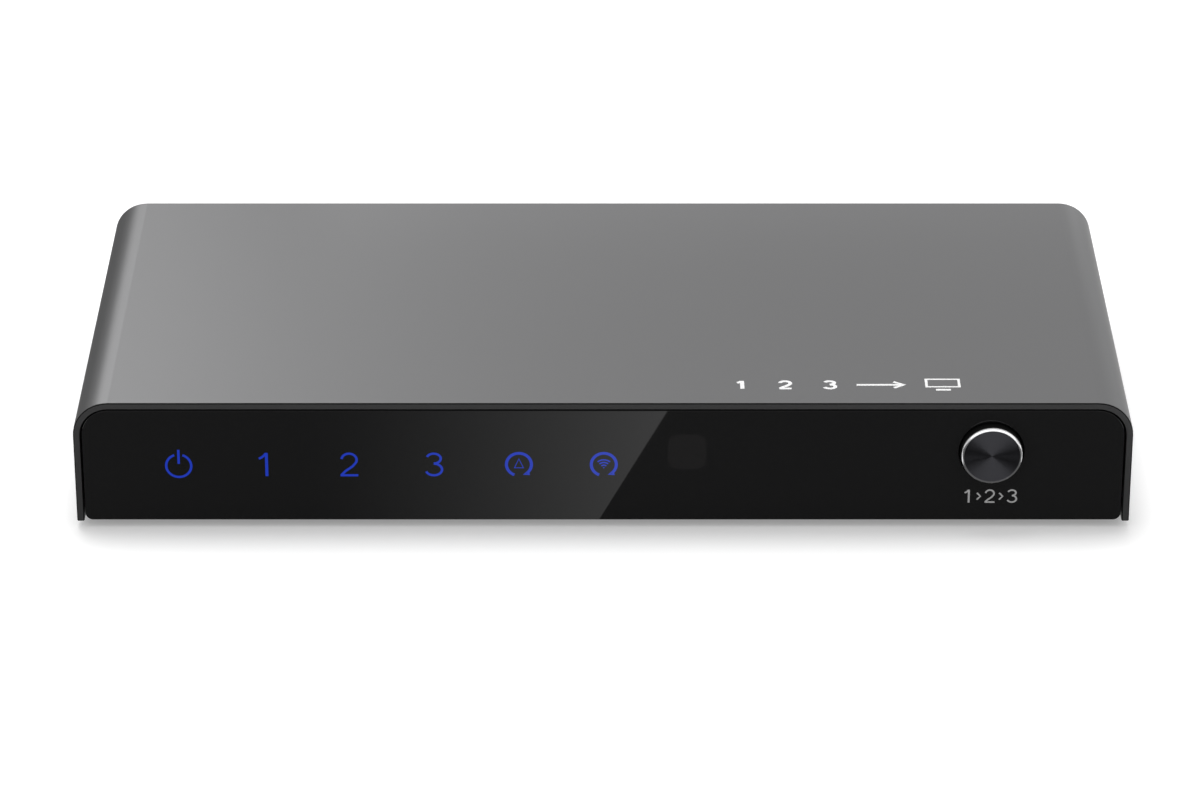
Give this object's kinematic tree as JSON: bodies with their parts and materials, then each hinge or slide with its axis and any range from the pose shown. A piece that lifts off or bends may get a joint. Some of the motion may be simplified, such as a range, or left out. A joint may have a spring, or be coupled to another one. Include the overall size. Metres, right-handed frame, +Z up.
{
  "type": "video switch box",
  "caption": "Low flat box with a U-shaped metal cover, a gloss black front with lit symbols and a push button that selects which video input goes to the output.",
  "frame": {"origin": "on the surface that the feet stand on, under the middle of the box", "axes": "+X to the right seen from the front, +Y from the front panel to the sockets, +Z up"},
  "size_m": [0.142, 0.0684, 0.0187],
  "materials": {
    "cover_metal": "satin anodised",
    "plate_black": "fine black powder coat",
    "panel_gloss": "gloss",
    "tape": "matte",
    "moulded_black": "fine grain",
    "milky_film": "translucent",
    "smoked_window": "gloss",
    "rubber": "matte",
    "screw_black": "black oxide",
    "screw_steel": "zinc plated",
    "button_metal": "spun, with a bright bevel",
    "spring_metal": "plated",
    "shell_metal": "nickel plated",
    "gold": "gold plated",
    "lamp_blue": "clear tinted",
    "board_green": "solder mask",
    "chip_black": "moulded epoxy",
    "can_metal": "bright",
    "ceramic": "ceramic",
    "coil_black": "ferrite"
  },
  "bodies": {
    "case": {"top_cover": "cover_metal", "base_plate": "plate_black", "rear_panel": "plate_black", "front_panel": "panel_gloss", "panel_tape": "tape", "front_carrier": "moulded_black", "diffuser_strip": "milky_film", "remote_window": "smoked_window", "rubber_feet": "rubber", "base_screws": "screw_black", "carrier_screws": "screw_black", "rear_screws": "screw_black", "switch_dome": "spring_metal", "switch_housing": "moulded_black", "switch_bracket": "spring_metal", "indicator_lamps": "lamp_blue", "remote_receiver": "chip_black", "main_board": "board_green", "standoffs": "screw_steel", "board_screws": "screw_steel", "socket_shell_out": "shell_metal", "socket_shell_in_1": "shell_metal", "socket_shell_in_2": "shell_metal", "socket_shell_in_3": "shell_metal", "socket_blocks": "moulded_black", "socket_tongues": "moulded_black", "socket_contacts": "gold", "power_jack_body": "moulded_black", "power_jack_pin": "spring_metal", "power_jack_spring": "spring_metal", "switch_chip": "chip_black", "switch_chip_leads": "screw_steel", "controller_chip": "chip_black", "controller_leads": "screw_steel", "crystal_can": "can_metal", "power_coil": "coil_black", "regulators": "chip_black", "can_capacitors": "can_metal", "chip_capacitors": "ceramic", "chip_resistors": "chip_black", "surge_arrays": "chip_black"},
    "select_button": {"button_cap": "button_metal", "button_stem": "moulded_black", "switch_plunger": "moulded_black"}
  },
  "joints": [
    {"name": "select_press", "type": "slide", "parent": "case", "child": "select_button", "axis": [0, 1, 0], "range_m": [0, 0.0005], "stiffness_N_per_m": 2400, "deforming": ["switch_dome"]}
  ]
}
